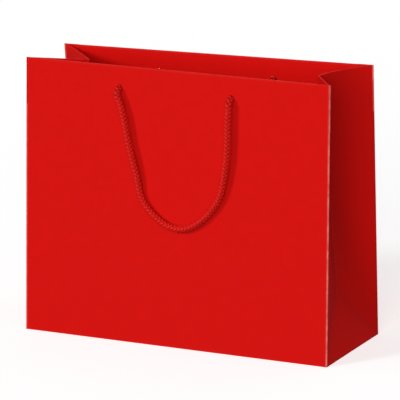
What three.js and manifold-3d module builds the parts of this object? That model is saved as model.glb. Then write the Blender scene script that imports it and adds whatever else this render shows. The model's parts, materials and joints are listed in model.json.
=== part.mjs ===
// Rigid gift bag of laminated paper with two rope handles. Millimetres, +Z up.
// Origin: the middle of the base, on the surface that the bag stands on.
// Front is -Y. The back half is built as the front is, turned half a circle about Z.
import * as THREE from 'three';
import Module from 'manifold-3d';
import { mergeVertices } from 'three/addons/utils/BufferGeometryUtils.js';

const wasm = await Module();
wasm.setup();

// ---- Driving dimensions -------------------------------------------------------------------
const WIDTH = 320;          // side to side, over the paper
const DEPTH = 122;          // front to back at the base
const PANEL_HEIGHT = 267;   // front or back panel, along its slope
// The mouth at rest, from the base's middle plane to each top corner. The paper has taken a
// set, so the left side stands narrower than the right.
const MOUTH_FRONT_LEFT = 48;
const MOUTH_FRONT_RIGHT = 53;
const MOUTH_BACK_LEFT = 30.5;
const MOUTH_BACK_RIGHT = 48.5;

const PAPER = 0.4;          // laminated paper
const HEM = 45;             // height of the turned-in top edge
const HEM_BOARD = 1.0;      // thickness of the board strip inside the hem
const HEM_BOARD_HEIGHT = 40;
const HEM_BOARD_DROP = 1.2; // top fold to the board's upper edge
const HEM_END = 17;         // side edge of a panel to the end of its hem parts
const GUSSET_HEM_END = 3;   // hinge edge or crease of a gusset half to its hem

const BASE_BOARD = 1.5;     // loose board inside the base
const BASE_BOARD_CLEARANCE_X = 3.5;
const BASE_BOARD_CLEARANCE_Y = 2.2;
const LONG_FLAP_OVERLAP = 12;  // each long bottom flap reaches past the middle by this
const LONG_FLAP_TAPER = 3;
const LONG_FLAP_STEP = 4;      // length of the ramp where one flap climbs on the other
const SIDE_FLAP_LENGTH = 62;
const SIDE_FLAP_TAPER = 7;
const SEAM_FLAP_WIDTH = 16;
const SEAM_FLAP_START = 8;     // side edge of the back panel to the seam flap
const SEAM_FLAP_END = 10;      // base or hem to the seam flap's ends

const ROPE = 6.5;              // rope diameter
const ROPE_CLEARANCE = 0.35;   // all round, in its hole
const HOLE_SPACING = 118;
const HOLE_DROP = 21.5;        // top edge to hole centre
const KNOT = 14;               // knot diameter
const KNOT_LENGTH = 11;
const TAIL = 5;                // rope end past the knot
const SWING_OUT = 6;           // panel's face to the axis that the handle swings on

// ---- Clearances ---------------------------------------------------------------------------
const GAP = 0.3;            // between sheets that lie on each other or meet at a fold
const CREASE_GAP = 1.4;     // each gusset half to the gusset's middle plane
const DIAGONAL_GAP = 0.6;   // gusset half to gusset foot, across their fold
const FLAP_SIDE_GAP = 1.3;  // side bottom flap to the front and back panels
const FOOT_LIFT = 2.1;      // base fold to the lower edge of a gusset foot

// ---- Shape of the folded paper ------------------------------------------------------------
const FOLD_Z = PAPER + GAP / 2;   // height of the base folds
const HALF_DEPTH = DEPTH / 2;
const GUSSET_HALF = HALF_DEPTH;   // width of one gusset half

// A panel's lean from upright that brings its top this far from the middle plane.
function leanTo(halfMouth) {
  return Math.asin((HALF_DEPTH - halfMouth) / PANEL_HEIGHT);
}

// A gusset foot's lean from upright. The base corner is a spherical four-bar: base and panel
// are its 90 degree links, the gusset half and the foot its 45 degree links.
function footLean(halfMouth) {
  const elbow = Math.acos(Math.SQRT1_2 / Math.cos((Math.PI / 2 - leanTo(halfMouth)) / 2));
  return Math.asin(Math.SQRT2 * Math.sin(elbow));
}

const RED_PAPER = { color: 0xcf1a14, roughness: 0.5, metalness: 0 };
const BOARD_GREY = { color: 0xb3a797, roughness: 0.95, metalness: 0 };
const RED_ROPE = { color: 0xb51510, roughness: 0.85, metalness: 0 };

const bag = new THREE.Group();

function addMesh(parent, name, geometry, finish) {
  const mesh = new THREE.Mesh(geometry, new THREE.MeshStandardMaterial(finish));
  mesh.name = name;
  parent.add(mesh);
  return mesh;
}

function solidOf(geometry) {
  const bare = geometry.clone().deleteAttribute('normal').deleteAttribute('uv');
  const merged = mergeVertices(bare, 1e-4);
  return new wasm.Manifold(new wasm.Mesh({
    numProp: 3,
    vertProperties: new Float32Array(merged.getAttribute('position').array),
    triVerts: new Uint32Array(merged.getIndex().array),
  }));
}

function geometryOf(solid) {
  const mesh = solid.getMesh();
  const geometry = new THREE.BufferGeometry();
  geometry.setAttribute('position', new THREE.BufferAttribute(mesh.vertProperties, 3));
  geometry.setIndex(new THREE.BufferAttribute(mesh.triVerts, 1));
  return geometry;
}

// A polygon in the XZ plane, thickened along +Y.
function uprightSheet(outline, thickness) {
  const shape = new THREE.Shape(outline.map(([x, z]) => new THREE.Vector2(x, z)));
  return new THREE.ExtrudeGeometry(shape, { depth: thickness, bevelEnabled: false })
    .rotateX(Math.PI / 2).translate(0, thickness, 0);
}

// A polygon in the XY plane, thickened along +Z from z = start.
function flatSheet(outline, start, thickness) {
  const shape = new THREE.Shape(outline.map(([x, y]) => new THREE.Vector2(x, y)));
  return new THREE.ExtrudeGeometry(shape, { depth: thickness, bevelEnabled: false })
    .translate(0, 0, start);
}

// ---- Front or back half -------------------------------------------------------------------
const HALVES = {
  front: { turn: 0, localLeft: MOUTH_FRONT_LEFT, localRight: MOUTH_FRONT_RIGHT },
  back: { turn: Math.PI, localLeft: MOUTH_BACK_RIGHT, localRight: MOUTH_BACK_LEFT },
};

// A panel frame stands on its base fold and leans inwards. In it the outer face is near y = 0,
// +Y goes into the bag and +Z goes up the panel. Left and right here are the frame's own.
function panelFrame({ turn, localLeft, localRight }) {
  const half = new THREE.Group();
  half.rotation.z = turn;
  const frame = new THREE.Group();
  frame.position.set(0, -HALF_DEPTH, FOLD_Z);
  frame.rotation.x = -leanTo((localLeft + localRight) / 2);
  frame.userData.twist = (localLeft - localRight) / 2;
  half.add(frame);
  bag.add(half);
  return frame;
}

// The panel's set: it is twisted, so that its two side edges lean by different amounts.
function setPoint(frame, point) {
  const { twist } = frame.userData;
  point.y += twist * (point.z / PANEL_HEIGHT) * (point.x / (WIDTH / 2));
  return point;
}

function setGeometry(frame, geometry) {
  const position = geometry.getAttribute('position');
  const p = new THREE.Vector3();
  for (let i = 0; i < position.count; i++) {
    setPoint(frame, p.fromBufferAttribute(position, i));
    position.setXYZ(i, p.x, p.y, p.z);
  }
  return geometry;
}

const HOLE_Z = PANEL_HEIGHT - HOLE_DROP;
const HEM_BOARD_START = PAPER + GAP;
const TURN_IN_START = HEM_BOARD_START + HEM_BOARD + GAP;
const HEM_INNER_FACE = TURN_IN_START + PAPER;
const SHEET_COLUMNS = 10;   // facets across a panel, so that sheets on each other bend alike
const SHEET_ROW = 33;       // height of a facet, about

function panelSheet(frame, left, right, low, high, start, thickness) {
  const columns = Math.max(1, Math.round(SHEET_COLUMNS * (right - left) / WIDTH));
  const rows = Math.max(1, Math.round((high - low) / SHEET_ROW));
  const box = new THREE.BoxGeometry(right - left, thickness, high - low, columns, 1, rows)
    .translate((left + right) / 2, start + thickness / 2, (low + high) / 2);
  return setGeometry(frame, box);
}

function punched(frame, geometry) {
  let solid = solidOf(geometry);
  for (const side of [-1, 1]) {
    const centre = setPoint(frame, new THREE.Vector3(side * HOLE_SPACING / 2, 0, HOLE_Z));
    const drill = new THREE.CylinderGeometry(
      ROPE / 2 + ROPE_CLEARANCE, ROPE / 2 + ROPE_CLEARANCE, 20, 20)
      .translate(centre.x, centre.y, centre.z);
    solid = solid.subtract(solidOf(drill));
  }
  return geometryOf(solid);
}

function addPanel(frame, name) {
  const sheet = panelSheet(frame, -WIDTH / 2, WIDTH / 2, GAP / 2, PANEL_HEIGHT, 0, PAPER);
  addMesh(frame, `${name}_panel`, punched(frame, sheet), RED_PAPER);
}

function addHem(frame, name) {
  const end = WIDTH / 2 - HEM_END;
  const boardTop = PANEL_HEIGHT - HEM_BOARD_DROP;
  const board = panelSheet(
    frame, -end, end, boardTop - HEM_BOARD_HEIGHT, boardTop, HEM_BOARD_START, HEM_BOARD);
  const turnIn = panelSheet(
    frame, -end, end, PANEL_HEIGHT - HEM, PANEL_HEIGHT, TURN_IN_START, PAPER);
  addMesh(frame, `${name}_hem_board`, punched(frame, board), BOARD_GREY);
  addMesh(frame, `${name}_turn_in`, punched(frame, turnIn), RED_PAPER);
}

// Overhand knot as a lump of revolution about Y, with the rope's short run through the hole
// to the ball where the handle hangs from it, and the cut tail behind.
function knotGeometry() {
  const r = ROPE / 2;
  const knotStart = HEM_INNER_FACE + GAP;
  const points = [];
  for (let i = 0; i <= 4; i++) {
    const a = (i / 4) * (Math.PI / 2);
    points.push([r * Math.sin(a), -SWING_OUT - r * Math.cos(a)]);
  }
  const bulge = (KNOT - ROPE) / 2;
  for (let i = 0; i <= 8; i++) {
    const a = (i / 8) * Math.PI;
    points.push([r + bulge * Math.sin(a), knotStart + KNOT_LENGTH * (1 - Math.cos(a)) / 2]);
  }
  const end = knotStart + KNOT_LENGTH + TAIL;
  points.push([r, end - 1], [r - 1, end], [0, end]);
  return new THREE.LatheGeometry(points.map(([x, y]) => new THREE.Vector2(Math.max(x, 0), y)), 16);
}

function addKnots(frame, name) {
  for (const [label, side] of [['left', -1], ['right', 1]]) {
    const knot = addMesh(frame, `${name}_${label}_knot`, knotGeometry(), RED_ROPE);
    knot.position.copy(setPoint(frame, new THREE.Vector3(side * HOLE_SPACING / 2, 0, HOLE_Z)));
  }
}

// ---- Rope handles -------------------------------------------------------------------------
// The hanging loop, as the rope lies: sideways, out from the panel's face, up from the holes.
const LOOP_ROUTE = [
  [-59, 6, -3.6], [-58.4, 6.5, -12], [-56.4, 6.9, -22], [-53.8, 6.9, -33], [-51, 6.8, -45],
  [-48.2, 6.6, -57], [-45.6, 6.3, -68], [-42.6, 5.6, -78], [-39.6, 4.8, -87],
  [-37.2, 4.1, -95], [-34.6, 3.7, -103], [-30.4, 3.6, -110], [-24.4, 3.6, -117],
  [-17, 3.6, -123.2], [-9, 3.6, -128], [-0.6, 3.6, -130.9], [8, 3.6, -131.4],
  [16, 3.6, -129.6], [24.2, 3.6, -125.4], [32, 3.6, -119.4], [39.2, 3.6, -112],
  [45.2, 3.8, -104], [49.4, 4.2, -95.6], [51.9, 4.9, -87], [53.6, 5.7, -77],
  [54.9, 6.3, -66], [55.8, 6.6, -54], [56.4, 6.7, -42], [56.9, 6.7, -30],
  [57.6, 6.6, -18], [58.5, 6.3, -9], [59, 6, -3.6],
];
const LOOP_STEPS = 60;
const ROPE_SIDES = 10;

function addRope(frame, name) {
  const points = LOOP_ROUTE.map(
    ([x, out, up]) => setPoint(frame, new THREE.Vector3(x, -out, HOLE_Z + up)));
  const section = new THREE.Shape();
  for (let i = 0; i < ROPE_SIDES; i++) {
    const a = (i / ROPE_SIDES) * 2 * Math.PI;
    const corner = [ROPE / 2 * Math.cos(a), ROPE / 2 * Math.sin(a)];
    if (i === 0) section.moveTo(...corner);
    else section.lineTo(...corner);
  }
  const geometry = new THREE.ExtrudeGeometry(section, {
    steps: LOOP_STEPS, bevelEnabled: false, extrudePath: new THREE.CatmullRomCurve3(points),
  });
  addMesh(frame, `${name}_rope`, geometry, RED_ROPE);
}

// ---- Gussets ------------------------------------------------------------------------------
// The point at given distances from three others, on the side that the hand rule gives.
function meetingPoint(a, aReach, b, bReach, c, cReach, hand) {
  const ex = b.clone().sub(a);
  const ab = ex.length();
  ex.normalize();
  const ac = c.clone().sub(a);
  const i = ex.dot(ac);
  const ey = ac.clone().addScaledVector(ex, -i).normalize();
  const j = ey.dot(ac);
  const ez = ex.clone().cross(ey);
  const x = (aReach ** 2 - bReach ** 2 + ab ** 2) / (2 * ab);
  const y = (aReach ** 2 - cReach ** 2 + i ** 2 + j ** 2 - 2 * i * x) / (2 * j);
  const z = hand * Math.sqrt(aReach ** 2 - x ** 2 - y ** 2);
  return a.clone().addScaledVector(ex, x).addScaledVector(ey, y).addScaledVector(ez, z);
}

// A panel's side edge in the bag's frame, at a height along the panel.
function panelEdge(frame, localSide, up) {
  frame.updateWorldMatrix(true, false);
  const point = setPoint(frame, new THREE.Vector3(localSide * WIDTH / 2, 0, up));
  return frame.localToWorld(point);
}

// The gusset paper keeps its width along the top edge and its length up the middle crease.
function gussetSide(frames, side) {
  const halfMouth = side < 0
    ? (MOUTH_FRONT_LEFT + MOUTH_BACK_LEFT) / 2 : (MOUTH_FRONT_RIGHT + MOUTH_BACK_RIGHT) / 2;
  const lean = footLean(halfMouth);
  const peak = new THREE.Vector3(
    side * (WIDTH / 2 - GUSSET_HALF * Math.sin(lean)), 0, FOLD_Z + GUSSET_HALF * Math.cos(lean));
  const frontTop = panelEdge(frames.front, side, PANEL_HEIGHT);
  const backTop = panelEdge(frames.back, -side, PANEL_HEIGHT);
  const climb = PANEL_HEIGHT - GUSSET_HALF;
  const creaseTop = meetingPoint(
    frontTop, GUSSET_HALF, backTop, GUSSET_HALF, peak, climb, side);
  return { lean, peak, creaseTop, frontTop, backTop };
}

// A box bent onto the ruled surface between the side edge and the crease. u runs from the
// edge to the crease, v from the foot to the top, and depth goes in from the outer face.
function gussetSheet(corners, hand, { uRange, vRange, depth, thickness }) {
  const { edgeFoot, edgeTop, peak, creaseTop } = corners;
  const geometry = new THREE.BoxGeometry(1, 1, 1, 3, 10, 1);
  const position = geometry.getAttribute('position');
  const p = new THREE.Vector3();
  for (let i = 0; i < position.count; i++) {
    p.fromBufferAttribute(position, i).addScalar(0.5);
    const u = THREE.MathUtils.lerp(...uRange, p.x);
    const v = THREE.MathUtils.lerp(...vRange, p.y);
    const edge = edgeFoot.clone().lerp(edgeTop, v);
    const crease = peak.clone().lerp(creaseTop, v);
    const alongU = crease.clone().sub(edge);
    const alongV = edgeTop.clone().sub(edgeFoot).lerp(creaseTop.clone().sub(peak), u);
    const outward = alongU.clone().cross(alongV).normalize().multiplyScalar(hand);
    const inset = depth + thickness * (1 - p.z);
    const point = edge.addScaledVector(alongU, u).addScaledVector(outward, -inset);
    position.setXYZ(i, point.x, point.y, point.z);
  }
  return hand > 0 ? geometry : turnedOver(geometry);
}

// The same faces, each with its corners in the other order.
function turnedOver(geometry) {
  const index = geometry.getIndex().array;
  for (let i = 0; i < index.length; i += 3) [index[i], index[i + 1]] = [index[i + 1], index[i]];
  return geometry;
}

function addGussetHalf(name, side, half, { peak, creaseTop, frontTop, backTop }) {
  const isFront = half === 'front';
  const edgeFoot = new THREE.Vector3(side * WIDTH / 2, isFront ? -HALF_DEPTH : HALF_DEPTH, FOLD_Z);
  const corners = { edgeFoot, edgeTop: isFront ? frontTop : backTop, peak, creaseTop };
  const topRun = creaseTop.clone().sub(corners.edgeTop);
  const angle = Math.acos(Math.abs(topRun.x) / topRun.length());
  const hingeGap = (PAPER + GAP + PAPER * Math.cos(angle)) / Math.sin(angle);
  const hand = isFront ? side : -side;
  const wall = gussetSheet(corners, hand, {
    uRange: [hingeGap / GUSSET_HALF, 1 - CREASE_GAP / GUSSET_HALF],
    vRange: [DIAGONAL_GAP * Math.SQRT2 / (PANEL_HEIGHT - GUSSET_HALF), 1],
    depth: 0, thickness: PAPER,
  });
  const turnIn = gussetSheet(corners, hand, {
    uRange: [GUSSET_HEM_END / GUSSET_HALF, 1 - GUSSET_HEM_END / GUSSET_HALF],
    vRange: [1 - HEM / PANEL_HEIGHT, 1], depth: PAPER + GAP, thickness: PAPER,
  });
  addMesh(bag, `${name}_${half}_gusset_half`, wall, RED_PAPER);
  addMesh(bag, `${name}_${half}_gusset_turn_in`, turnIn, RED_PAPER);
}

// The triangle between the base fold and the two diagonal folds. It leans in about its base.
function addGussetFoot(name, side, lean) {
  const peak = GUSSET_HALF - DIAGONAL_GAP * Math.SQRT2;
  const corner = peak - FOOT_LIFT;
  const outline = [[-corner, FOOT_LIFT], [corner, FOOT_LIFT], [0, peak]];
  const sheet = uprightSheet(outline, PAPER).rotateX(-lean);
  const foot = addMesh(bag, `${name}_gusset_foot`, sheet, RED_PAPER);
  foot.rotation.z = side * Math.PI / 2;
  foot.position.set(side * WIDTH / 2, 0, FOLD_Z);
}

// ---- Base ---------------------------------------------------------------------------------
const STEPPED_Z = PAPER + GAP;                // where the upper long flap lies on the lower
const SIDE_FLAP_Z = STEPPED_Z + PAPER + GAP;
const BASE_BOARD_Z = SIDE_FLAP_Z + PAPER + GAP;

function addFrontFlap() {
  const root = WIDTH / 2;
  const tip = root - LONG_FLAP_TAPER;
  const outline = [[-root, -HALF_DEPTH], [root, -HALF_DEPTH],
    [tip, LONG_FLAP_OVERLAP], [-tip, LONG_FLAP_OVERLAP]];
  addMesh(bag, 'front_bottom_flap', flatSheet(outline, 0, PAPER), RED_PAPER);
}

// The back flap lies on the floor, then climbs onto the front flap that it is glued to.
function addBackFlap() {
  const tip = -LONG_FLAP_OVERLAP;
  const stepEnd = LONG_FLAP_OVERLAP + GAP;
  const stepStart = stepEnd + LONG_FLAP_STEP;
  const profile = new THREE.Shape([
    [HALF_DEPTH, 0], [HALF_DEPTH, PAPER], [stepStart, PAPER], [stepEnd, STEPPED_Z + PAPER],
    [tip, STEPPED_Z + PAPER], [tip, STEPPED_Z], [stepEnd, STEPPED_Z], [stepStart - PAPER, 0],
  ].map(([y, z]) => new THREE.Vector2(y, z)));
  const length = WIDTH - 2 * LONG_FLAP_TAPER;
  const geometry = new THREE.ExtrudeGeometry(profile, { depth: length, bevelEnabled: false })
    .rotateX(Math.PI / 2).rotateZ(Math.PI / 2).translate(-length / 2, 0, 0);
  addMesh(bag, 'back_bottom_flap', geometry, RED_PAPER);
}

function addSideFlap(name, side) {
  const root = HALF_DEPTH - FLAP_SIDE_GAP;
  const tip = root - SIDE_FLAP_TAPER;
  const outline = [[0, -root], [0, root], [-SIDE_FLAP_LENGTH, tip], [-SIDE_FLAP_LENGTH, -tip]];
  const flap = addMesh(bag, `${name}_bottom_flap`, flatSheet(outline, SIDE_FLAP_Z, PAPER), RED_PAPER);
  flap.rotation.z = side > 0 ? 0 : Math.PI;
  flap.position.x = side * WIDTH / 2;
}

function addBaseBoard() {
  const x = WIDTH / 2 - BASE_BOARD_CLEARANCE_X;
  const y = HALF_DEPTH - BASE_BOARD_CLEARANCE_Y;
  const outline = [[-x, -y], [x, -y], [x, y], [-x, y]];
  addMesh(bag, 'base_board', flatSheet(outline, BASE_BOARD_Z, BASE_BOARD), BOARD_GREY);
}

function addSeamFlap(frame) {
  const start = WIDTH / 2 - SEAM_FLAP_START;
  const top = PANEL_HEIGHT - HEM - SEAM_FLAP_END;
  const sheet = panelSheet(
    frame, start - SEAM_FLAP_WIDTH, start, SEAM_FLAP_END, top, PAPER + GAP, PAPER);
  addMesh(frame, 'seam_flap', sheet, RED_PAPER);
}

// ---- Assembly -----------------------------------------------------------------------------
const frames = {};
for (const [name, shape] of Object.entries(HALVES)) {
  frames[name] = panelFrame(shape);
  addPanel(frames[name], name);
  addHem(frames[name], name);
  addKnots(frames[name], name);
  addRope(frames[name], name);
}
addSeamFlap(frames.back);
for (const [name, side] of [['left', -1], ['right', 1]]) {
  const corners = gussetSide(frames, side);
  addGussetHalf(name, side, 'front', corners);
  addGussetHalf(name, side, 'back', corners);
  addGussetFoot(name, side, corners.lean);
  addSideFlap(name, side);
}
addFrontFlap();
addBackFlap();
addBaseBoard();

export default bag;
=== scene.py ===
# %% [markdown]
# # A gift bag of laminated paper with two rope handles
# The working model already fixes every size, fold and hinge of this bag. Here it is dressed:
# one folded paper sheet for each face, braided rope, real knots, grey board and their finishes.
# Every length is in metres. The bag stands on z = 0 with its front towards -Y.

# %% Load the working model and note its box
import json
import math

import bpy
import numpy as np
from mathutils import Matrix, Vector


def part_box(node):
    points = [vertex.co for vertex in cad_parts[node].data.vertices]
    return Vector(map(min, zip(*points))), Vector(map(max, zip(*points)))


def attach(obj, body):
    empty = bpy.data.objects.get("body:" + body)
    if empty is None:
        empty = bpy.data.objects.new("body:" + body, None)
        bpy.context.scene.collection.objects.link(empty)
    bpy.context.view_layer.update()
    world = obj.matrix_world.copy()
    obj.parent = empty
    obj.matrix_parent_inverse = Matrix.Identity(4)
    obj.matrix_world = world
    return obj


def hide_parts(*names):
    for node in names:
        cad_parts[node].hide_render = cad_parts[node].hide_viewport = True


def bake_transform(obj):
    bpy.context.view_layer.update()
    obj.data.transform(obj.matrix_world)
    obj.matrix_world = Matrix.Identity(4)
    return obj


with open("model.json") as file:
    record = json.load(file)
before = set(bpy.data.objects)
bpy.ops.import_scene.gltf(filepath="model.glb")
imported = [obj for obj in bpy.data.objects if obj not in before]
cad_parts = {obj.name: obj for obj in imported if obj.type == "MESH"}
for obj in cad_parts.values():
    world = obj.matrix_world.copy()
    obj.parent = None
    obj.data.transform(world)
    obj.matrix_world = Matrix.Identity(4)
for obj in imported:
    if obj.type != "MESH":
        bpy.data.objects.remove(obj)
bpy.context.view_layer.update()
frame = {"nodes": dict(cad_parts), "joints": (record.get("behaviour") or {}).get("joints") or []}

MM = 0.001
scene = bpy.context.scene

# %% [markdown]
# ## The camera
# A product shot is taken from far away with a long lens, so that upright edges stay almost
# parallel. A nearer camera would pinch the far side. The lens comes first because everything
# after it is judged through it. The camera is placed by its turn round the bag, its height
# angle, a very small roll, and its distance.

# %% Camera
LENS = 315.0
CAMERA_TURN = math.radians(26.13)
CAMERA_RISE = math.radians(14.04)
CAMERA_ROLL = math.radians(-0.59)
CAMERA_DISTANCE = 3.355
AIM = Vector((0, 0, 0.1311))


def camera_axes(turn, rise, roll):
    """Right, up and backward: the backward axis points from the bag to the camera, and the
    other two are rolled about it."""
    back = Vector((math.sin(turn) * math.cos(rise), -math.cos(turn) * math.cos(rise),
                   math.sin(rise)))
    level = Vector((math.cos(turn), math.sin(turn), 0))
    upright = back.cross(level)
    right = level * math.cos(roll) + upright * math.sin(roll)
    up = upright * math.cos(roll) - level * math.sin(roll)
    return right, up, back


camera = bpy.data.objects.new("camera", bpy.data.cameras.new("camera"))
scene.collection.objects.link(camera)
right, up, back = camera_axes(CAMERA_TURN, CAMERA_RISE, CAMERA_ROLL)
camera.matrix_world = Matrix.Translation(AIM + back * CAMERA_DISTANCE) @ Matrix(
    (right, up, back)).transposed().to_4x4()
camera.data.lens = LENS
scene.camera = camera
print("camera at", np.round(camera.matrix_world.translation, 3))

# %% [markdown]
# ## Where each sheet lies
# A face of the bag is a ruled sheet: straight lines run between two opposite edges, and the
# sheet may be a little twisted, as creased paper is. Four corners and a depth below the outer
# face then place any point. The corners are read from the working model, so nothing is fitted
# by eye. A flat plane for each face would be simpler, but the mouth of this bag is not square.

# %% Corners of the panels
hinges = {joint["name"]: joint for joint in frame["joints"]}
FOLD = np.array(hinges["front_panel_fold"]["pos_m"])
HALF_DEPTH = -FOLD[1]
FOLD_Z = FOLD[2]
HALF_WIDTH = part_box("front_panel")[1].x
WIDTH = 2 * HALF_WIDTH


def far_corner(node, direction):
    """The point of a node that lies furthest along a direction."""
    mesh = frame["nodes"][node].data
    points = np.empty(3 * len(mesh.vertices))
    mesh.vertices.foreach_get("co", points)
    points = points.reshape(-1, 3)
    return points[np.argmax(points @ np.array(direction))]


def panel_corners(half, out):
    """Foot left, foot right, top left and top right of a panel's outer face."""
    feet = [np.array([side * HALF_WIDTH, out * HALF_DEPTH, FOLD_Z]) for side in (-1, 1)]
    tops = [far_corner(half + "_panel", (side, 0.5 * out, 1)) for side in (-1, 1)]
    return np.array(feet + tops)


PANELS = {"front": panel_corners("front", -1), "back": panel_corners("back", 1)}
PANEL_HEIGHT = np.linalg.norm(PANELS["front"][2] - PANELS["front"][0])
for half, corners in PANELS.items():
    print(half, "panel's top corners in mm:", np.round(corners[2:] / MM, 1).tolist())


# %% A point on a ruled sheet
def mix(a, b, share):
    return a + (b - a) * share[..., None]


def on_sheet(corners, inward, u, v, depth):
    """Mix the feet by u and the tops by u, mix those two by v, then go in by depth along the
    sheet's normal. inward is a point on the inner side, and only gives the normal its sign."""
    foot, top = mix(corners[0], corners[1], u), mix(corners[2], corners[3], u)
    across = mix(corners[1] - corners[0], corners[3] - corners[2], v)
    normal = np.cross(across, top - foot)
    normal /= np.linalg.norm(normal, axis=-1, keepdims=True)
    middle = corners.mean(axis=0)
    sign = np.sign(np.cross(corners[1] - corners[0], corners[2] - corners[0])
                   @ (np.asarray(inward) - middle))
    return mix(foot, top, v) + sign * depth[..., None] * normal


INNER_POINT = (0, 0, 0.1)


def on_panel(half, x, up, depth):
    """x along the width, up from the base fold, depth in from the outer face."""
    x, up, depth = np.broadcast_arrays(*(np.asarray(a, float) for a in (x, up, depth)))
    return on_sheet(PANELS[half], INNER_POINT, x / WIDTH + 0.5, up / PANEL_HEIGHT, depth)


# %% [markdown]
# ## Making meshes and materials
# Every new piece is worked out as whole numpy arrays and handed to Blender once. A material is
# a few nodes, so a short helper that makes a node and fills its inputs keeps them readable.

# %% Mesh and node helpers
def strip(ring, other):
    """Quads between two closed rings of the same length."""
    return np.stack([ring, np.roll(ring, -1), np.roll(other, -1), other], axis=-1)


def grid_quads(index):
    """Quads between neighbours of a grid of point numbers, or of each grid in a stack."""
    return np.stack([index[..., :-1, :-1], index[..., 1:, :-1],
                     index[..., 1:, 1:], index[..., :-1, 1:]], axis=-1)


def fan_quads(ring):
    """Quads that close a ring with an even number of points, all from its first point."""
    return [ring[..., [0, k, k + 1, k + 2]] for k in range(1, ring.shape[-1] - 2, 2)]


def border(index):
    """The point numbers round the border of a grid, in order."""
    return np.concatenate([index[:-1, 0], index[-1, :-1], index[:0:-1, -1], index[0, :0:-1]])


def signed_volume(points, quads):
    """Six times the volume inside closed quads, negative if they face inwards."""
    a, b, c, d = (points[quads[:, k]] for k in range(4))
    return np.sum(np.cross(a, b) * c) + np.sum(np.cross(a, c) * d)


def make_piece(name, points, quads, materials, finish=None, uv=None, wear_and_painted_light=None, sharp=40):
    """A mesh object from arrays. Unused points are dropped and the faces point outwards."""
    used, quads = np.unique(quads, return_inverse=True)
    quads = quads.reshape(-1, 4)
    points = points[used]
    if signed_volume(points, quads) < 0:
        quads = quads[:, ::-1]
    mesh = bpy.data.meshes.new(name)
    mesh.from_pydata(points.tolist(), [], quads.tolist())
    for material in materials:
        mesh.materials.append(material)
    if finish is not None:
        mesh.polygons.foreach_set("material_index", finish.astype(np.int32))
    if uv is not None:
        corner = np.empty(len(mesh.loops), np.int32)
        mesh.loops.foreach_get("vertex_index", corner)
        layer = mesh.uv_layers.new(name="surface")
        layer.data.foreach_set("uv", uv[used][corner].astype(np.float32).ravel())
    # A number per point for the materials: on paper the pale fold, film wear and a painted
    # highlight; on rope the braid height, which sets the painted shade between strands.
    if wear_and_painted_light is not None:
        attribute = mesh.attributes.new("wear_and_painted_light", "FLOAT", "POINT")
        attribute.data.foreach_set("value", wear_and_painted_light[used].astype(np.float32))
    mesh.shade_smooth()
    mesh.set_sharp_from_angle(angle=math.radians(sharp))
    mesh.validate()
    piece = bpy.data.objects.new(name, mesh)
    scene.collection.objects.link(piece)
    print(f"{name}: {len(points)} points, {len(quads)} faces")
    return piece


def node(tree, kind, values=None, **settings):
    """A new node, with its settings, and with each named input linked or given a value."""
    made = tree.nodes.new(kind)
    for setting, value in settings.items():
        setattr(made, setting, value)
    for socket, value in (values or {}).items():
        if isinstance(value, bpy.types.NodeSocket):
            tree.links.new(value, made.inputs[socket])
        else:
            made.inputs[socket].default_value = value
    return made


def new_material(name, **constants):
    """A material with a principled shader whose plain values are set on its own sockets."""
    made = bpy.data.materials.new(name)
    made.use_nodes = True
    shader = made.node_tree.nodes["Principled BSDF"]
    for socket, value in constants.items():
        shader.inputs[socket.replace("_", " ")].default_value = value
    return made, made.node_tree, shader


def blend_colours(tree, share, first, second):
    """The first colour where share is 0, the second where it is 1."""
    return node(tree, "ShaderNodeMix", {0: share, 6: first, 7: second},
                data_type="RGBA").outputs[2]


def remap(tree, value, low, high, to_low=0.0, to_high=1.0):
    """A value stretched from one range to another, and held inside it."""
    return node(tree, "ShaderNodeMapRange", {
        "Value": value, "From Min": low, "From Max": high,
        "To Min": to_low, "To Max": to_high}).outputs["Result"]


def object_place(tree):
    """The place on the object itself, in metres."""
    return node(tree, "ShaderNodeTexCoord").outputs["Object"]


def noise(tree, where, scale, detail=2.0):
    return node(tree, "ShaderNodeTexNoise", {
        "Vector": where, "Scale": scale, "Detail": detail}).outputs["Fac"]


# %% [markdown]
# ## The rope handles
# The handle is a soft braided cord. The working model gives it 6.5 mm, and it is a little
# thicker over the crests of its braid. Eight flat strands of yarn, four each way round, pass
# over two and under two. A smooth tube with a bump map would look like plastic
# hose from close by, so each strand is a real ribbon of mesh that winds round the rope's
# centreline and rises and falls as it crosses the others.
#
# The rope comes out of its hole, bends down at once, and hangs by its own weight. It touches
# the panel near the bottom of the loop, and the slightly crooked loop is the set that it took
# while it was packed flat.

# %% Rope sizes and route
ROPE = 6.5 * MM
HOLE_SPACING = 118 * MM
HOLE_DROP = 21.5 * MM
HOLE_UP = PANEL_HEIGHT - HOLE_DROP
SWING_OUT = 6 * MM
HEM_DEPTH = 2.4 * MM

# Sideways, out from the panel's face, and up from the holes.
LOOP_ROUTE = np.array([
    [-59, 6, -3.6], [-56, 6.5, -11.3], [-52.9, 6.9, -20.5], [-50.1, 6.9, -30.6],
    [-47.8, 6.8, -42.5], [-45, 6.6, -54.5], [-42, 6.3, -65.5], [-39.2, 5.6, -75.5],
    [-37.2, 4.8, -84.5], [-35.8, 4.1, -92.5], [-34, 3.7, -100.5], [-30.3, 3.6, -107.5],
    [-24.4, 3.6, -114.5], [-17, 3.6, -120.7], [-9, 3.6, -125.5], [-0.6, 3.6, -128.4],
    [8, 3.6, -128.9], [16, 3.6, -127.1], [24.2, 3.6, -122.9], [32, 3.6, -116.9],
    [39.3, 3.6, -109.5], [45.3, 3.8, -101.5], [49.7, 4.2, -93.1], [52.4, 4.9, -84.5],
    [54.6, 5.7, -74.5], [56.4, 6.3, -63.5], [57.7, 6.6, -51.5], [58.3, 6.7, -39.5],
    [58.4, 6.7, -27.8], [58.5, 6.6, -16.8], [59, 6.3, -8.6], [59, 6, -3.6],
]) * MM
BEND_ROUTE = np.array([[0, -2.7, 0], [0, 0, 0], [0, 2.2, -0.5], [0, 4.4, -1.8]]) * MM


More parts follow.
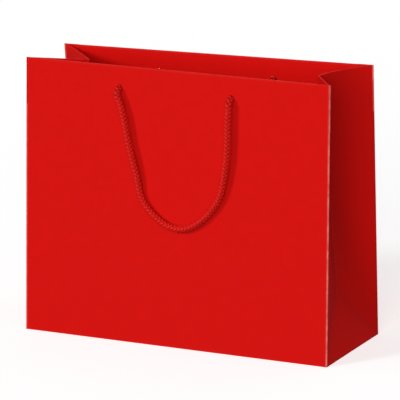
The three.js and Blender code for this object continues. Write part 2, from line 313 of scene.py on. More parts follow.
def whole_route():
    """The bend at each hole, in front of and behind the loop's own points."""
    sideways = np.array([HOLE_SPACING / 2, 0, 0])
    return np.vstack([BEND_ROUTE - sideways, LOOP_ROUTE, BEND_ROUTE[::-1] + sideways])


# %% A smooth line through points
def smooth_line(points, step):
    """A natural cubic spline through the points, measured by chord length, then read off at
    even steps of arc length."""
    knots = np.concatenate([[0], np.cumsum(np.linalg.norm(np.diff(points, axis=0), axis=1))])
    h = np.diff(knots)
    n = len(points)
    system = np.eye(n)
    target = np.zeros((n, 3))
    inner = np.arange(1, n - 1)
    system[inner, inner - 1] = h[:-1]
    system[inner, inner] = 2 * (h[:-1] + h[1:])
    system[inner, inner + 1] = h[1:]
    slopes = np.diff(points, axis=0) / h[:, None]
    target[1:-1] = 6 * np.diff(slopes, axis=0)
    bend = np.linalg.solve(system, target)
    fine = np.linspace(0, knots[-1], 4000)
    k = np.clip(np.searchsorted(knots, fine) - 1, 0, n - 2)
    a, b, w = (knots[k + 1] - fine)[:, None], (fine - knots[k])[:, None], h[k][:, None]
    line = (bend[k] * a**3 + bend[k + 1] * b**3) / (6 * w) + (
        points[k] / w - bend[k] * w / 6) * a + (points[k + 1] / w - bend[k + 1] * w / 6) * b
    length = np.concatenate([[0], np.cumsum(np.linalg.norm(np.diff(line, axis=0), axis=1))])
    even = np.linspace(0, length[-1], max(8, round(length[-1] / step)))
    return np.stack([np.interp(even, length, line[:, axis]) for axis in range(3)], axis=1), even


def frames_along(line):
    """Unit tangents, and two cross directions that turn as little as they can."""
    tangents = np.gradient(line, axis=0)
    tangents /= np.linalg.norm(tangents, axis=1, keepdims=True)
    first = np.cross(tangents[0], [0.3, 0.5, 0.8])
    crosses = [first / np.linalg.norm(first)]
    for tangent in tangents[1:]:
        carried = crosses[-1] - tangent * (crosses[-1] @ tangent)
        crosses.append(carried / np.linalg.norm(carried))
    crosses = np.array(crosses)
    return tangents, crosses, np.cross(tangents, crosses)


# %% The braid
OVER_CRESTS = 6.8 * MM    # the soft braid is a little thicker than its working size
STRANDS = 4               # each way round
LAY = 15 * MM             # length in which a strand goes once round
STRAND_WIDTH = 1.34 * MM  # half of it
STRAND_HEIGHT = 0.64 * MM
CROSSING = 0.62 * MM      # rise and fall where strands cross
STRAND_SIDES = 8
CREST_SHARE = 0.62        # how much a crossing adds to a point's height in the braid
STRAND_SHARE = 0.38       # how much its place round its own strand adds
ROPE_STEP = 0.55 * MM
ROPE_CORE_INSET = 1.4 * MM  # how far the core lies below the crests


def braid(line, along, diameter):
    """Ribbons round a line. Strand k turns by one lap in each lay, and its distance from the
    line rises and falls with period four crossings, so that it goes over two and under two.
    Strands of the other hand turn and rise the other way. Returns points, quads, uv, and how
    high in the braid each point lies, from 0 to 1."""
    scale = diameter / OVER_CRESTS
    _, cross, other = frames_along(line)
    mean = diameter / 2 - (STRAND_HEIGHT + CROSSING) * scale
    hand = np.repeat([1, -1], STRANDS)[:, None]
    k = np.tile(np.arange(STRANDS), 2)[:, None]
    lap = along[None, :] / (LAY * scale)
    angle = 2 * np.pi * (hand * lap + k / STRANDS)
    crossing = hand * 2 * STRANDS * lap + 2 * k - 0.5
    distance = mean + hand * CROSSING * scale * np.cos(np.pi / 2 * crossing)
    radial = (np.cos(angle)[..., None] * cross + np.sin(angle)[..., None] * other)
    centre = line + distance[..., None] * radial
    forward = np.gradient(centre, axis=1)
    forward /= np.linalg.norm(forward, axis=-1, keepdims=True)
    sideways = np.cross(forward, radial)
    sideways /= np.linalg.norm(sideways, axis=-1, keepdims=True)
    around = np.linspace(0, 2 * np.pi, STRAND_SIDES, endpoint=False)
    points = (centre[:, :, None]
              + STRAND_WIDTH * scale * np.cos(around)[:, None] * sideways[:, :, None]
              + STRAND_HEIGHT * scale * np.sin(around)[:, None] * radial[:, :, None])
    strands, steps = centre.shape[:2]
    index = np.arange(strands * steps * STRAND_SIDES).reshape(strands, steps, STRAND_SIDES)
    wrapped = np.concatenate([index, index[:, :, :1]], axis=2)
    quads = grid_quads(wrapped).reshape(-1, 4)
    ends = fan_quads(index[:, 0]) + [end[:, ::-1] for end in fan_quads(index[:, -1])]
    uv = np.empty(points.shape[:3] + (2,))
    uv[..., 0] = np.arange(STRAND_SIDES) / STRAND_SIDES + 7 * np.arange(strands)[:, None, None]
    uv[..., 1] = along[None, :, None] / MM
    crest = 0.5 + 0.5 * hand * np.cos(np.pi / 2 * crossing)
    height = np.clip(
        crest[:, :, None] * CREST_SHARE + STRAND_SHARE * np.sin(around), 0, 1)
    return points.reshape(-1, 3), np.vstack([quads] + ends), uv.reshape(-1, 2), height.ravel()


def core(line, radius, sides=10):
    """A plain tube under the strands, so that no light shows between them."""
    _, cross, other = frames_along(line)
    angle = np.linspace(0, 2 * np.pi, sides, endpoint=False)[:, None]
    points = line[:, None] + radius * (
        np.cos(angle) * cross[:, None] + np.sin(angle) * other[:, None])
    index = np.arange(len(line) * sides).reshape(len(line), sides)
    wrapped = np.hstack([index, index[:, :1]])
    caps = fan_quads(index[0]) + [cap[::-1] for cap in fan_quads(index[-1])]
    return points.reshape(-1, 3), np.vstack([grid_quads(wrapped).reshape(-1, 4), caps])


# %% [markdown]
# The yarn is taken to be polypropylene, satin. The shade that falls between the strands is
# painted
# into the colour: the lower a point lies in the braid, the darker it is, so the crests look
# lighter.
# Its fine threads run along each strand, so their pattern follows the strand's own uv map, in
# which one direction goes round the strand and the other is the length along the rope.

# %% Rope material
DEEP_YARN = (0.56, 0.008, 0.006, 1)
BRIGHT_YARN = (0.92, 0.022, 0.016, 1)
# Painted shade: the colour of the lowest points in the braid, where shade falls between strands.
PAINTED_SHADE_BETWEEN_STRANDS = (0.23, 0.0015, 0.001, 1)


def rope_material():
    made, tree, shader = new_material(
        "braided_rope", Roughness=0.55, Specular_IOR_Level=0.04)
    uv = node(tree, "ShaderNodeUVMap", uv_map="surface").outputs["UV"]
    threads = node(tree, "ShaderNodeMapping", {"Vector": uv, "Scale": (9, 0.9, 1),
                                               "Rotation": (0, 0, 0.35)}).outputs["Vector"]
    yarn = noise(tree, threads, 1.6, 3)
    patches = noise(tree, object_place(tree), 700, 2)
    tone = blend_colours(tree, remap(tree, yarn, 0.3, 0.7), DEEP_YARN, BRIGHT_YARN)
    soft = blend_colours(tree, remap(tree, patches, 0.35, 0.75, 0, 0.35), tone, DEEP_YARN)
    # Braid height: low points take the painted shade between strands, high points the yarn
    # colour.
    height = node(tree, "ShaderNodeAttribute", attribute_name="wear_and_painted_light").outputs["Fac"]
    colour = blend_colours(tree, remap(tree, height, 0.25, 0.85), PAINTED_SHADE_BETWEEN_STRANDS, soft)
    tree.links.new(colour, shader.inputs["Base Color"])
    bump = node(tree, "ShaderNodeBump", {"Height": yarn, "Strength": 0.5,
                                         "Distance": 0.00025})
    tree.links.new(bump.outputs["Normal"], shader.inputs["Normal"])
    return made


ROPE_FINISH = rope_material()

# %% [markdown]
# ## Knots
# Each rope end is held by a knot inside the bag. The rope goes straight in, turns back, winds
# one and a half times round itself towards the panel and is pulled out through the middle, as
# a stopper knot is. It hangs a little below its hole by its own weight. It is the same braid,
# drawn tighter, and its cut end is melted so that it doesn't fray.

# %% Knot
KNOT_ROPE = 5.4 * MM
KNOT_WIND = 3.9 * MM
KNOT_SAG = 7.5 * MM      # the knot hangs below the hole's axis
KNOT_TURNS = 1.55
KNOT_BACK = 12.2 * MM
KNOT_FRONT = 5.6 * MM
KNOT_TAIL = 18.6 * MM
KNOT_STEP = 0.6 * MM
KNOT_CORE_INSET = 1.2 * MM
TIP_STEP = 0.3 * MM
TIP_SWELL = 0.05 * MM    # the melted tip is this much wider than the rope, all round
KNOT_STARTS = {"left": 0.6, "right": 2.4}  # the angles at which the knots start to wind


def knot_route(start_angle):
    """In along the axis, over to the winding radius, back along a helix, then in again close
    to the axis. Columns are two cross directions and the depth."""
    turn = np.linspace(0, 1, 16)
    angle = start_angle + 2 * np.pi * KNOT_TURNS * turn
    reach = KNOT_WIND * np.clip(0.75 + 2 * turn, 0, 1)
    helix = np.stack([reach * np.cos(angle), reach * np.sin(angle) - KNOT_SAG,
                      KNOT_BACK + (KNOT_FRONT - KNOT_BACK) * turn], axis=1)
    lead = np.array([[0, 0, 0], [0, -0.5, 3.4], [0, -3.4, 6.4], [-0.6, -6.9, 9.8]]) * MM
    away = angle[-1] + 0.9
    tail = np.array([[0.5 * KNOT_WIND * math.cos(away), 0.5 * KNOT_WIND * math.sin(away),
                      KNOT_FRONT + 2.2 * MM],
                     [0.35 * KNOT_WIND * math.cos(away + 0.6),
                      0.35 * KNOT_WIND * math.sin(away + 0.6), 12.5 * MM],
                     [1.2 * MM * math.cos(away), 1.2 * MM * math.sin(away), KNOT_TAIL]])
    tail[:, 1] -= KNOT_SAG
    return np.vstack([lead, helix, tail])


def make_knot(name, half, side, start_angle):
    """A knot at the hole on one side of one panel, with its melted tip."""
    cross, rise, depth = knot_route(start_angle).T
    hole_x = side * HOLE_SPACING / 2
    route = on_panel(half, hole_x + cross, HOLE_UP + rise, depth)
    line, along = smooth_line(route, KNOT_STEP)
    points, quads, uv, height = braid(line, along, KNOT_ROPE)
    inner, inner_quads = core(line, KNOT_ROPE / 2 - KNOT_CORE_INSET)
    tip_line, _ = smooth_line(np.array([line[-6], line[-3], line[-1]
                                        + (line[-1] - line[-4]) * 0.45]), TIP_STEP)
    tip, tip_quads = core(tip_line, KNOT_ROPE / 2 + TIP_SWELL)
    all_points = np.vstack([points, inner, tip])
    all_quads = np.vstack([quads, inner_quads + len(points),
                           tip_quads + len(points) + len(inner)])
    all_uv = np.vstack([uv, np.zeros((len(inner) + len(tip), 2))])
    # Braid height for the painted shade between strands: the core takes the full shade, and the
    # melted tip a fixed 0.35, which darkens it.
    wear_and_painted_light = np.concatenate([height, np.zeros(len(inner)), np.full(len(tip), 0.35)])
    knot = make_piece(name, all_points, all_quads, [ROPE_FINISH], uv=all_uv, wear_and_painted_light=wear_and_painted_light)
    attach(knot, half + "_panel")
    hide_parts(name.replace("_rope_knot", "_knot"))
    return knot


# %% Handles
def make_handle(half, sign):
    """The hanging loop of one handle, from knot to knot, with its two knots. sign is 1 where
    the route's sideways direction is +X."""
    knots = [make_knot(f"{half}_{label}_rope_knot", half, side * sign, KNOT_STARTS[label])
             for label, side in (("left", -1), ("right", 1))]
    cross, out, rise = whole_route().T
    route = on_panel(half, sign * cross, HOLE_UP + rise, -out)
    line, along = smooth_line(route, ROPE_STEP)
    points, quads, uv, height = braid(line, along, OVER_CRESTS)
    inner, inner_quads = core(line[::4], OVER_CRESTS / 2 - ROPE_CORE_INSET)
    # The braid height sets the painted shade between strands; the core takes the full shade.
    rope = make_piece(
        f"{half}_rope_handle", np.vstack([points, inner]),
        np.vstack([quads, inner_quads + len(points)]), [ROPE_FINISH],
        uv=np.vstack([uv, np.zeros((len(inner), 2))]),
        wear_and_painted_light=np.concatenate([height, np.zeros(len(inner))]))
    hole = on_panel(half, -sign * HOLE_SPACING / 2, HOLE_UP, 0)
    hang_start = on_panel(half, 0, HOLE_UP + 1.5 * MM, -1.2 * MM)
    hang_end = on_panel(half, 0, HOLE_UP - 5.5 * MM, -SWING_OUT - 1.0 * MM)
    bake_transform(rope)
    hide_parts(half + "_rope")
    print(half, "handle, knot to knot:", round(along[-1] / MM, 1), "mm")


make_handle("front", 1)
make_handle("back", -1)

# %% [markdown]
# ## The paper
# The bag is one sheet of thick paper with a matt film on its face. Ink and film are red right
# through to the eye, so the surface is even, with a very fine orange-peel grain and slow,
# shallow waves that only show in a slanting light. Where the sheet is folded the film has
# stretched and turned pale. The same pale colour is also a painted highlight: the light that
# the narrow rounded folds and corners catch is painted in, strongest along the vertical corners.
# This mix of wear and painted highlight is kept as a number on each point of the mesh, high at a
# fold and falling off over about a millimetre, and broken up by noise.

# %% Paper materials
RED = (0.625, 0.0060, 0.0046, 1)
# Pale fold colour: film stretched pale at folds, and a painted highlight where the rounded folds
# catch light.
PALE_FOLD_AND_PAINTED_HIGHLIGHT = (0.92, 0.25, 0.21, 1)


def film_material():
    made, tree, shader = new_material(
        "matt_film_paper", Roughness=0.5, Specular_IOR_Level=0.025)
    place = object_place(tree)
    mottle = noise(tree, place, 90, 4)
    red = blend_colours(tree, remap(tree, mottle, 0.3, 0.7),
                        (RED[0] * 0.985, RED[1], RED[2], 1), (RED[0] * 1.02, RED[1], RED[2], 1))
    # Pale along folds and corners: part film wear, part painted highlight.
    fold = node(tree, "ShaderNodeAttribute", attribute_name="wear_and_painted_light").outputs["Fac"]
    broken = remap(tree, noise(tree, place, 130, 3), 0.30, 0.62, 0.45, 1.0)
    fold_wear_and_highlight = node(tree, "ShaderNodeMath", {0: fold, 1: broken}, operation="MULTIPLY")
    colour = blend_colours(tree, fold_wear_and_highlight.outputs[0], red, PALE_FOLD_AND_PAINTED_HIGHLIGHT)
    tree.links.new(colour, shader.inputs["Base Color"])
    grain = node(tree, "ShaderNodeBump", {
        "Height": noise(tree, place, 1400, 2), "Strength": 0.10, "Distance": 0.00006})
    waves = node(tree, "ShaderNodeBump", {
        "Height": noise(tree, place, 14, 1), "Strength": 0.25, "Distance": 0.0016,
        "Normal": grain.outputs["Normal"]})
    tree.links.new(waves.outputs["Normal"], shader.inputs["Normal"])
    rough = remap(tree, noise(tree, place, 500, 2), 0.3, 0.7, 0.46, 0.54)
    tree.links.new(rough, shader.inputs["Roughness"])
    return made


def inside_material():
    """The uncoated back of the sheet: duller, with paper fibres."""
    made, tree, shader = new_material(
        "uncoated_paper", Roughness=0.85, Specular_IOR_Level=0.1)
    place = object_place(tree)
    stretched = node(tree, "ShaderNodeMapping", {"Vector": place, "Scale": (1, 1, 0.35)})
    fibres = noise(tree, stretched.outputs["Vector"], 1900, 5)
    colour = blend_colours(tree, remap(tree, fibres, 0.35, 0.7),
                           (0.50, 0.014, 0.011, 1), (0.60, 0.030, 0.024, 1))
    tree.links.new(colour, shader.inputs["Base Color"])
    bump = node(tree, "ShaderNodeBump", {"Height": fibres, "Strength": 0.3,
                                         "Distance": 0.00012})
    tree.links.new(bump.outputs["Normal"], shader.inputs["Normal"])
    return made


def board_material():
    """Grey board made from waste paper: soft mottling, pale and dark fibres."""
    made, tree, shader = new_material(
        "grey_board", Roughness=0.92, Specular_IOR_Level=0.1)
    place = object_place(tree)
    stretched = node(tree, "ShaderNodeMapping", {"Vector": place, "Scale": (0.3, 1, 1)})
    fibres = noise(tree, stretched.outputs["Vector"], 1500, 6)
    clouds = noise(tree, place, 110, 3)
    base = blend_colours(tree, remap(tree, clouds, 0.3, 0.7),
                         (0.37, 0.32, 0.26, 1), (0.46, 0.41, 0.34, 1))
    colour = blend_colours(tree, remap(tree, fibres, 0.45, 0.75), base, (0.62, 0.58, 0.51, 1))
    flecks = remap(tree, noise(tree, place, 2600, 2), 0.68, 0.74)
    colour = blend_colours(tree, flecks, colour, (0.16, 0.13, 0.11, 1))
    tree.links.new(colour, shader.inputs["Base Color"])
    bump = node(tree, "ShaderNodeBump", {"Height": fibres, "Strength": 0.4,
                                         "Distance": 0.0002})
    tree.links.new(bump.outputs["Normal"], shader.inputs["Normal"])
    return made


FILM = film_material()
INSIDE_PAPER = inside_material()
BOARD = board_material()

# %% [markdown]
# ## A folded sheet
# Each face of the bag is a thin closed sheet: an outer surface, an inner surface a paper's
# thickness below, and narrow walls round the border and round each punched hole. At the top it
# folds over inwards and comes down again as the hem. Two square plates glued together would
# show a cut edge there, and the real one shows a round fold. The grid lines crowd together at
# the borders, so that small roundings are true shape.
#
# A hole is made without any cutting tool. A square block of cells is left out, and rings of
# new points run from the square's border to the circle.

# %% Sheet sizes
PAPER = 0.4 * MM
HEM = 45 * MM
HEM_END = 17 * MM
HEM_CORNER = 1.1 * MM
CORNER_RADIUS = 0.6 * MM
BASE_RADIUS = 0.5 * MM
HOLE_RADIUS = ROPE / 2 + 0.35 * MM
HOLE_BLOCK = 8 * MM
BLOCK_CELLS = 8


def ease(share):
    share = np.clip(share, 0, 1)
    return share * share * (3 - 2 * share)


def wear_and_highlight_at_edge(distance, amount, width):
    """Wear and painted highlight that is amount at an edge and falls smoothly to nothing at
    width from it.
    """
    return amount * (1 - ease(distance / width))


def wear_and_highlight_on_fold(distance, amount, width):
    """Wear and painted highlight along a fold: a bell curve across it, amount high."""
    return amount * np.exp(-(distance / width) ** 2)


def ruler(start, end, step, edge, marks=()):
    """Grid lines from start to end, about step apart and closer within three edges of both
    ends. Each mark is a run of lines of its own, which the others keep clear of."""
    close = edge * np.array([0, 0.08, 0.29, 0.62, 1, 1.6, 2.4, 3.6])
    inner = np.linspace(start + close[-1], end - close[-1],
                        max(2, round((end - start - 2 * close[-1]) / step) + 1))
    lines = np.concatenate([start + close[:-1], inner, end - close[:-1]])
    for mark in marks:
        clear = (lines < mark[0] - 0.8 * MM) | (lines > mark[-1] + 0.8 * MM)
        lines = np.concatenate([lines[clear], mark])
    return np.sort(lines)


def curl(distance, radius):
    """How far a sheet has bent in at a distance from its folded border: a quarter circle."""
    share = 1 - np.clip(distance / radius, 0, 1)
    return radius * (1 - np.sqrt(1 - share * share))


def hem_path(v, height, radius, hem, face):
    """Height and depth along a sheet that goes up, over a half circle and down again. face is
    how deep in the paper the wanted surface lies. Up to the fold v is the height itself."""
    widest = np.max(radius)
    rise = height - widest
    arc = np.pi * widest
    turned = np.clip((v - rise) / arc, 0, 1) * np.pi
    down = np.clip(v - rise - arc, 0, None) * (hem - radius) / (hem - widest)
    straight = np.minimum(v, rise) * (height - radius) / rise
    up = straight + (radius - face) * np.sin(turned) - down
    depth = radius - (radius - face) * np.cos(turned)
    return up, depth


def make_sheet(name, surface, u_lines, v_lines, wear_and_highlight_at, holes=(), inside_below=None):
    """A closed sheet. surface(u, v, face) gives its points, with face 0 outside and PAPER
    inside. holes are (u, v) centres. Below inside_below the inner surface is uncoated."""
    u, v = (a.ravel() for a in np.meshgrid(u_lines, v_lines, indexing="ij"))
    index = np.arange(u.size).reshape(len(u_lines), len(v_lines))
    quads = grid_quads(index)
    keep = np.ones(quads.shape[:2], bool)
    patches, mouths = [], []
    for at_u, at_v in holes:
        columns = np.flatnonzero(np.abs(u_lines - at_u) < HOLE_BLOCK + 0.01 * MM)
        rows = np.flatnonzero(np.abs(v_lines - at_v) < HOLE_BLOCK + 0.01 * MM)
        keep[columns[0]:columns[-1], rows[0]:rows[-1]] = False
        ring = border(index[columns[0]:columns[-1] + 1, rows[0]:rows[-1] + 1])
        square_u, square_v = u[ring], v[ring]
        angle = np.arctan2(square_v - at_v, square_u - at_u)
        for share in (0.4, 0.75, 0.93, 1.0):
            fresh = u.size + np.arange(len(ring))
            u = np.append(u, square_u + share * (at_u + HOLE_RADIUS * np.cos(angle) - square_u))
            v = np.append(v, square_v + share * (at_v + HOLE_RADIUS * np.sin(angle) - square_v))
            patches.append(strip(ring, fresh))
            ring = fresh
        mouths.append(ring)
    face = np.vstack([quads[keep]] + patches)
    count = u.size
    rim = border(index)
    walls = np.vstack([strip(rim, rim + count)[:, ::-1]]
                      + [strip(ring, ring + count) for ring in mouths])
    all_quads = np.vstack([face, face[:, ::-1] + count, walls])
    points = np.vstack([surface(u, v, 0.0), surface(u, v, PAPER)])
    finish = np.zeros(len(all_quads))
    if inside_below is not None:
        finish[len(face):2 * len(face)] = v[face].mean(axis=1) < inside_below
    # The inner surface takes half of the pale fold: film wear and painted highlight.
    wear_and_painted_light = np.concatenate([wear_and_highlight_at(u, v), wear_and_highlight_at(u, v) * 0.5])
    uv = np.tile(np.stack([u, v], axis=1), (2, 1))
    return make_piece(name, points, all_quads, [FILM, INSIDE_PAPER], finish, uv, wear_and_painted_light)


# %% [markdown]
# ## Front and back panels
# A panel bends round the vertical corners and under the base with a small radius, and its top
# folds over the hem board. The board ends short of the corners, so the hem gets thinner there.
# The face sinks in by a fraction of a millimetre between its stiff edges.

# %% Panels
BOARD_FADE = 4 * MM       # width over which the hem thins beyond its board
PANEL_SAG = {"front": 0.35 * MM, "back": 0.6 * MM}


def hem_radius(x):
    """Half the hem's thickness: full over the board, thin beyond the board's end."""
    past_board = ease((np.abs(x) - (HALF_WIDTH - HEM_END)) / BOARD_FADE)
    return (HEM_DEPTH + (HEM_CORNER - HEM_DEPTH) * past_board) / 2


def make_panel(half, sag):
    def surface(x, v, face):
        up, depth = hem_path(v, PANEL_HEIGHT, hem_radius(x), HEM, face)
        depth = depth + curl(HALF_WIDTH - np.abs(x), CORNER_RADIUS)
        depth = depth + curl(up + BASE_RADIUS, BASE_RADIUS)
        rest = np.cos(np.pi * x / WIDTH) ** 2
        below = np.clip(up / (PANEL_HEIGHT - HEM), 0, 1)
        return on_panel(half, x, up, depth + sag * rest * np.sin(np.pi * below) ** 2)

    def wear_and_highlight_at(x, v):
        # Pale at the vertical corners, strongest, and faintly at the top fold and the base: film
        # wear and a painted highlight of the rounded folds.
        side = wear_and_highlight_at_edge(HALF_WIDTH - np.abs(x), 0.85, 2.1 * MM)
        top = wear_and_highlight_on_fold(v - fold_middle, 0.06, 1.6 * MM)
        base = wear_and_highlight_at_edge(v + BASE_RADIUS, 0.15, 1.3 * MM)
        return np.maximum.reduce([side, top, base])

    rise = PANEL_HEIGHT - HEM_DEPTH / 2
    over = np.pi * HEM_DEPTH / 2
    fold_middle = rise + over / 2
    end = rise + over + HEM - HEM_DEPTH / 2
    hole_x = HOLE_SPACING / 2
    hole_rows = (HOLE_UP, rise + over + HOLE_DROP - HEM_DEPTH / 2)
    block = np.linspace(-HOLE_BLOCK, HOLE_BLOCK, BLOCK_CELLS + 1)
    fold_rows = rise + over * np.linspace(-0.25, 1.25, 13)
    x_lines = ruler(-HALF_WIDTH, HALF_WIDTH, 5 * MM, CORNER_RADIUS,
                    [block - hole_x, block + hole_x,
                     HALF_WIDTH - HEM_END + np.linspace(0, 4, 5) * MM,
                     -HALF_WIDTH + HEM_END + np.linspace(-4, 0, 5) * MM])
    v_lines = ruler(-BASE_RADIUS, end, 6 * MM, BASE_RADIUS,
                    [block + hole_rows[0], fold_rows, block + hole_rows[1]])
    holes = [(x, v) for x in (-hole_x, hole_x) for v in hole_rows]
    panel = make_sheet(f"{half}_panel_paper", surface, x_lines, v_lines, wear_and_highlight_at, holes, rise)
    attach(panel, half + "_panel")
    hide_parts(half + "_panel", half + "_turn_in")
    return panel


for half, sag in PANEL_SAG.items():
    make_panel(half, sag)

# %% [markdown]
# ## Gussets
# Each side of the bag folds inwards along a middle crease. Its two halves are ruled sheets
# between a panel's corner and that crease, and they twist as they rise, because the mouth is
# narrower than the base. On the real bag each half bends across its hinge when the bag closes,
# more at the top than at the base. Here each half is one fixed sheet in the working model's
# pose.

# %% Crease lines
SIDES = {"left": -1, "right": 1}


def meeting_point(centres, reaches, side):
    """The point at three given distances from three centres, on the bag's inner side."""
    a, b, c = centres
    ex = (b - a) / np.linalg.norm(b - a)
    along = ex @ (c - a)
    ey = c - a - along * ex
    ey /= np.linalg.norm(ey)
    gap, rise = np.linalg.norm(b - a), ey @ (c - a)
    x = (reaches[0] ** 2 - reaches[1] ** 2 + gap ** 2) / (2 * gap)
    y = (reaches[0] ** 2 - reaches[2] ** 2 + along ** 2 + rise ** 2 - 2 * along * x) / (2 * rise)
    z = side * math.sqrt(reaches[0] ** 2 - x * x - y * y)
    return a + x * ex + y * ey + z * np.cross(ex, ey)


def gusset_peak(side):
    """The top of the foot: the foot's edge length from the base, leaning in as the foot does."""
    foot = f"{'left' if side < 0 else 'right'}_gusset_foot"
    tip = far_corner(foot, (side, 0, 3))
    base = np.array([side * HALF_WIDTH, 0, FOLD_Z])
    lean = tip - base
    lean[1] = 0
    return base + lean / np.linalg.norm(lean) * HALF_DEPTH


CREASES = {}
for label, side in SIDES.items():
    tops = [PANELS[half][3 if side > 0 else 2] for half in ("front", "back")]
    peak = gusset_peak(side)
    top = meeting_point([tops[0], tops[1], peak],
                        [HALF_DEPTH, HALF_DEPTH, PANEL_HEIGHT - HALF_DEPTH], side)
    CREASES[label] = (peak, top)
    print(label, "crease from", np.round(peak / MM, 1), "to", np.round(top / MM, 1), "mm")

# %% Gusset halves
GUSSET_HEM = PAPER * 2 + 0.3 * MM
GUSSET_TUCK = 0.25 * MM
CREASE_LAP = 0.6 * MM     # each half runs this far past the crease, to cover a gap there
FRONT_BOW = 0.8 * MM      # how far a half is hollowed inwards
BACK_BOW = {"left": 1.5 * MM, "right": 8 * MM}


def make_gusset_half(label, half, bow):
    side, out = SIDES[label], -1 if half == "front" else 1
    peak, crease_top = CREASES[label]
    foot = np.array([side * HALF_WIDTH, out * HALF_DEPTH, FOLD_Z])
    edge_top = PANELS[half][3 if side > 0 else 2]
    corners = np.array([foot, peak, edge_top, crease_top])
    inward = corners.mean(axis=0) - np.array([side, -out * 0.5, 0]) * 0.05
    inward[1] = corners[:, 1].mean() + out * 0.01
    length = PANEL_HEIGHT - HALF_DEPTH / 2

    def surface(u, v, face):
        up, depth = hem_path(v, length, GUSSET_HEM / 2, HEM * length / PANEL_HEIGHT, face)
        depth = depth + GUSSET_TUCK * (1 - ease(u / (1.2 * MM)))
        share_u, share_v = u / HALF_DEPTH, np.clip(up / length, -0.01, 1.01)
        hollow = np.sin(np.pi * share_u) * ease(share_v / 0.5) * (1 - 0.5 * ease(share_v))
        return on_sheet(corners, inward, share_u, share_v, depth + bow * hollow)

    def wear_and_highlight_at(u, v):
        # Pale along the edge at the panel's corner, faint at the crease, top and foot: film wear
        # and a painted highlight.
        edge = wear_and_highlight_at_edge(u, 0.3, 0.9 * MM)
        crease = wear_and_highlight_at_edge(HALF_DEPTH - u, 0.04, 1.0 * MM)
        top = wear_and_highlight_on_fold(v - fold_middle, 0.02, 1.0 * MM)
        foot = wear_and_highlight_at_edge(v, 0.03, 1.0 * MM)
        return np.maximum.reduce([edge, crease, top, foot])

    rise = length - GUSSET_HEM / 2
    over = np.pi * GUSSET_HEM / 2
    fold_middle = rise + over / 2
    end = rise + over + HEM * length / PANEL_HEIGHT - GUSSET_HEM / 2
    u_lines = ruler(0.3 * MM, HALF_DEPTH + CREASE_LAP, 4 * MM, 0.3 * MM)
    v_lines = ruler(0, end, 6 * MM, 0.3 * MM, [rise + over * np.linspace(-0.5, 1.5, 11)])
    sheet = make_sheet(f"{label}_{half}_gusset_paper", surface, u_lines, v_lines, wear_and_highlight_at,
                       inside_below=rise)
    body = f"{label}_{half}_gusset"
    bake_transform(sheet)
    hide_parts(body + "_half", body + "_turn_in")
    return sheet


for label in SIDES:
    make_gusset_half(label, "front", FRONT_BOW)
    make_gusset_half(label, "back", BACK_BOW[label])

# %% [markdown]
# ## Gusset feet
# Below the diagonal folds the side of the bag is a plain triangle on the base. Its columns run
# across and its height falls to each side, so a grid with two short ends makes it without a
# pole.

# %% Feet
FOOT_END = 0.8 * MM       # each end stops this far short of the corner
FOOT_TOP = 0.1 * MM       # and the sloping sides this far short of the folds
FOOT_TUCK = 0.12 * MM


def make_foot(label):
    side = SIDES[label]
    base = np.array([side * HALF_WIDTH, 0, FOLD_Z])
    climb = (CREASES[label][0] - base) / HALF_DEPTH
    outward = np.array([side * climb[2], 0, abs(climb[0])])
    reach = HALF_DEPTH - FOOT_END

    def surface(y, v, face):
        height = HALF_DEPTH - np.abs(y) - FOOT_TOP
        up = v * (height + BASE_RADIUS) - BASE_RADIUS
        depth = face + curl(up + BASE_RADIUS, BASE_RADIUS) + FOOT_TUCK
        point = base + up[:, None] * climb - depth[:, None] * outward
        point[:, 1] = y
        return point

    def wear_and_highlight_at(y, v):
        # Pale along the foot's folds: film wear and a painted highlight.
        height = HALF_DEPTH - np.abs(y)
        return np.maximum(wear_and_highlight_at_edge((1 - v) * height, 0.04, 1.4 * MM),
                          wear_and_highlight_at_edge(v * height, 0.12, 1.3 * MM))

    y_lines = ruler(-reach, reach, 3 * MM, 0.4 * MM, [np.array([0.0])])
    rows = np.concatenate([np.linspace(0, 0.02, 5), np.linspace(0.05, 0.95, 14),
                           [0.975, 0.99, 1.0]])
    foot = make_sheet(f"{label}_foot_paper", surface, y_lines, rows, wear_and_highlight_at,
                      inside_below=2.0)
    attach(foot, label + "_gusset_foot")
    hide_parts(label + "_gusset_foot")
    return foot


for label in SIDES:
    make_foot(label)

# %% [markdown]
# ## Boards and flaps
# The hem boards, the loose base board, the glued base flaps and the seam flap are flat and
# plain on the real bag, so the working model's own pieces stay. They only need their finish.

# %% Finishes of the plain pieces
def finish_with(names, material):
    for name in names:
        mesh = frame["nodes"][name].data
        mesh.materials.clear()
        mesh.materials.append(material)
    print(material.name, "on", ", ".join(names))


finish_with(["front_hem_board", "back_hem_board", "base_board"], BOARD)
finish_with(["front_bottom_flap", "back_bottom_flap", "left_bottom_flap",
             "right_bottom_flap", "seam_flap"], FILM)

# %% [markdown]
# ## Floor and light
# The bag stands on a pale table that glows a little, as a light table does, so that its shadow
# stays faint. The key lamp, far off to the front left, gives the rope its shadow and leaves the
# right side darker. A wide, low fill lamp in front lifts the right side, and a wide rear lamp
# lights the back face, which would be too dark without it. The rear lamp leaves the floor out
# by light linking, so that it throws no shadow forwards. An even pale sky fills the rest.
#
# The bag's diffuse and glossy rays don't meet the floor. A glowing table would otherwise light
# the paper from below, more strongly near the base.

# %% Floor
FLOOR_SIZE = 12.0
FLOOR_GREY = 0.75
FLOOR_GLOW = 0.63


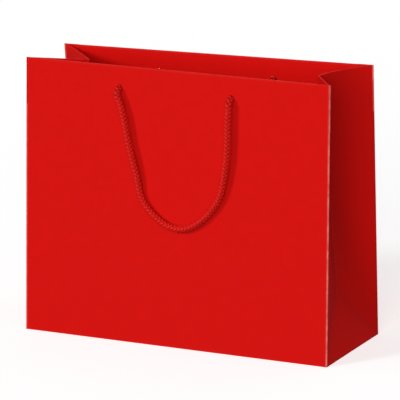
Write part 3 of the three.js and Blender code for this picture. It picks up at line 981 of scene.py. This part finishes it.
def make_floor():
    mesh = bpy.data.meshes.new("floor")
    half = FLOOR_SIZE / 2
    mesh.from_pydata([(-half, -half, 0), (half, -half, 0), (half, half, 0), (-half, half, 0)],
                     [], [(0, 1, 2, 3)])
    made, _, shader = new_material(
        "pale_floor", Base_Color=(FLOOR_GREY, FLOOR_GREY, FLOOR_GREY, 1), Roughness=0.9,
        Specular_IOR_Level=0.05, Emission_Color=(1, 1, 1, 1), Emission_Strength=FLOOR_GLOW)
    mesh.materials.append(made)
    floor = bpy.data.objects.new("floor", mesh)
    floor.visible_diffuse = False
    floor.visible_glossy = False
    scene.collection.objects.link(floor)
    return floor


FLOOR = make_floor()

# %% Light
# For each lamp: turn round the bag, height angle and spread, in degrees, then strength.
LAMPS = {"key": (-35, 20, 14, 0.43), "fill": (18, 14, 36, 0.55), "rear": (182, 40, 45, 0.8)}
SKY_STRENGTH = 0.22


def make_lamp(name, turn, rise, spread, strength):
    """A far soft lamp: where it stands round the bag and above it, and how wide it looks, in
    degrees. strength 1 lights a white card that faces it to plain white."""
    lamp = bpy.data.lights.new(name, "SUN")
    lamp.energy = strength * math.pi
    lamp.angle = math.radians(spread)
    thing = bpy.data.objects.new(name, lamp)
    scene.collection.objects.link(thing)
    _, _, back = camera_axes(math.radians(turn), math.radians(rise), 0)
    thing.rotation_mode = "QUATERNION"
    thing.rotation_quaternion = back.to_track_quat("Z", "Y")
    return thing


def keep_off(lamp, receiver):
    """A lamp that doesn't light one object, so that it leaves that object's shadows alone."""
    left_out = bpy.data.collections.new(lamp.name + "_leaves_out")
    left_out.objects.link(receiver)
    left_out.collection_objects[0].light_linking.link_state = "EXCLUDE"
    lamp.light_linking.receiver_collection = left_out


def make_sky():
    world = bpy.data.worlds.new("sky")
    world.use_nodes = True
    world.node_tree.nodes["Background"].inputs["Color"].default_value = (1, 1, 1, 1)
    world.node_tree.nodes["Background"].inputs["Strength"].default_value = SKY_STRENGTH
    scene.world = world


lamps = {name: make_lamp(name, *settings) for name, settings in LAMPS.items()}
keep_off(lamps["rear"], FLOOR)
make_sky()
print("lamps:", ", ".join(lamps))
scene.view_settings.view_transform = "Standard"
